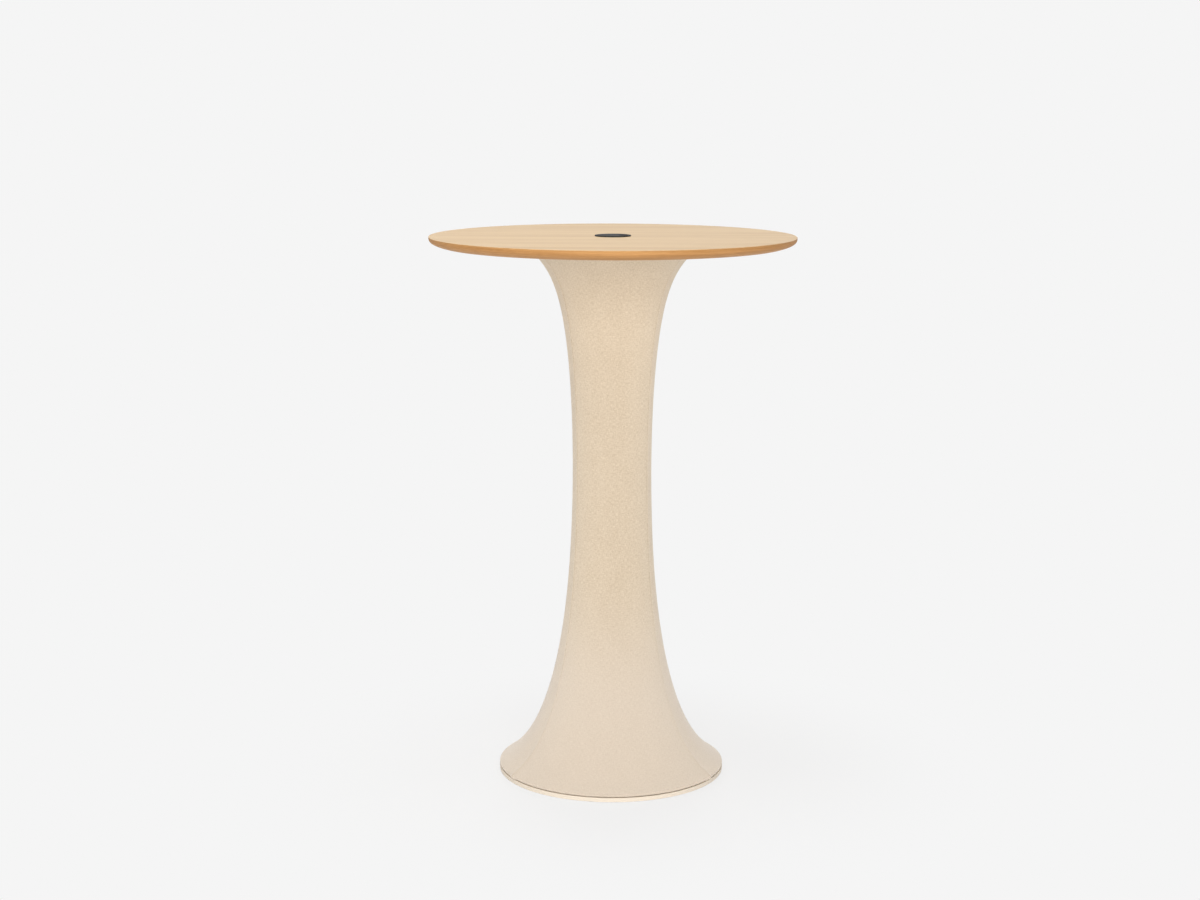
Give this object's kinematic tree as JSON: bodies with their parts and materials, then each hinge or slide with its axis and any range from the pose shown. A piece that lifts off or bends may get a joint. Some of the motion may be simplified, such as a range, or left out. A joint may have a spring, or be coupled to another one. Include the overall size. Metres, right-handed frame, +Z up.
{
  "type": "standing meeting table",
  "caption": "Round standing-height table with a veneered top, a round cable grommet, a trumpet-shaped stretch fabric sleeve over a steel column and a flat round base plate on levelling feet.",
  "frame": {"origin": "on the floor, on the centre line of the column, at the underside of the levelling pads", "axes": "+Z up; -Y is the front, the side the picture shows; +X is to the right seen from the front; the cable slot in the base plate is at the back, +Y"},
  "size_m": [0.7, 0.7, 1.052],
  "materials": {
    "oak_veneer": "pale oak veneer, matt lacquer",
    "oak_lipping": "solid oak lipping, oiled",
    "core_board": "raw board",
    "birch_plywood": "raw plywood",
    "black_plastic": "moulded, satin",
    "black_powder_coat": "matt powder coat on steel",
    "ivory_powder_coat": "fine matt powder coat on steel",
    "zinc_steel": "bright zinc plate",
    "stretch_fabric": "beige melange stretch knit",
    "grey_nylon": "moulded nylon"
  },
  "bodies": {
    "table_frame": {"face_veneer": "oak_veneer", "backing_veneer": "oak_veneer", "edge_lipping": "oak_lipping", "tabletop_core": "core_board", "upper_sleeve_ring": "birch_plywood", "grommet_sleeve": "black_plastic", "column_tube": "black_powder_coat", "column_top_plate": "black_powder_coat", "column_foot_flange": "black_powder_coat", "base_plate": "ivory_powder_coat", "lower_sleeve_ring": "zinc_steel", "fabric_panel_front": "stretch_fabric", "fabric_panel_right": "stretch_fabric", "fabric_panel_left": "stretch_fabric", "top_plate_screw_1": "zinc_steel", "top_plate_screw_2": "zinc_steel", "top_plate_screw_3": "zinc_steel", "top_plate_screw_4": "zinc_steel", "threaded_insert_1": "zinc_steel", "threaded_insert_2": "zinc_steel", "threaded_insert_3": "zinc_steel", "threaded_insert_4": "zinc_steel", "upper_ring_screw_1": "zinc_steel", "upper_ring_screw_2": "zinc_steel", "upper_ring_screw_3": "zinc_steel", "upper_ring_screw_4": "zinc_steel", "upper_ring_screw_5": "zinc_steel", "upper_ring_screw_6": "zinc_steel", "lower_ring_screw_1": "zinc_steel", "lower_ring_screw_2": "zinc_steel", "lower_ring_screw_3": "zinc_steel", "lower_ring_screw_4": "zinc_steel", "lower_ring_screw_5": "zinc_steel", "lower_ring_screw_6": "zinc_steel", "flange_bolt_1": "zinc_steel", "flange_bolt_2": "zinc_steel", "flange_bolt_3": "zinc_steel", "flange_bolt_4": "zinc_steel", "ring_spacer_1": "grey_nylon", "ring_spacer_2": "grey_nylon", "ring_spacer_3": "grey_nylon", "ring_spacer_4": "grey_nylon", "ring_spacer_5": "grey_nylon", "ring_spacer_6": "grey_nylon"},
    "grommet_cap": {"grommet_cap": "black_plastic"},
    "grommet_cover": {"grommet_cover": "black_plastic"},
    "levelling_foot_1": {"levelling_pad_1": "grey_nylon", "levelling_stud_1": "zinc_steel"},
    "levelling_foot_2": {"levelling_pad_2": "grey_nylon", "levelling_stud_2": "zinc_steel"},
    "levelling_foot_3": {"levelling_pad_3": "grey_nylon", "levelling_stud_3": "zinc_steel"},
    "levelling_foot_4": {"levelling_pad_4": "grey_nylon", "levelling_stud_4": "zinc_steel"}
  },
  "joints": [
    {"name": "cap_lift", "type": "slide", "parent": "table_frame", "child": "grommet_cap", "axis": [0, 0, 1], "range_m": [0, 0.03]},
    {"name": "cover_turn", "type": "hinge", "parent": "grommet_cap", "child": "grommet_cover", "pos_m": [0, 0, 1.05], "axis": [0, 0, 1], "continuous": true},
    {"name": "foot_1_screw", "type": "slide", "parent": "table_frame", "child": "levelling_foot_1", "axis": [0, 0, -1], "range_m": [0, 0.008]},
    {"name": "foot_2_screw", "type": "slide", "parent": "table_frame", "child": "levelling_foot_2", "axis": [0, 0, -1], "range_m": [0, 0.008]},
    {"name": "foot_3_screw", "type": "slide", "parent": "table_frame", "child": "levelling_foot_3", "axis": [0, 0, -1], "range_m": [0, 0.008]},
    {"name": "foot_4_screw", "type": "slide", "parent": "table_frame", "child": "levelling_foot_4", "axis": [0, 0, -1], "range_m": [0, 0.008]}
  ]
}
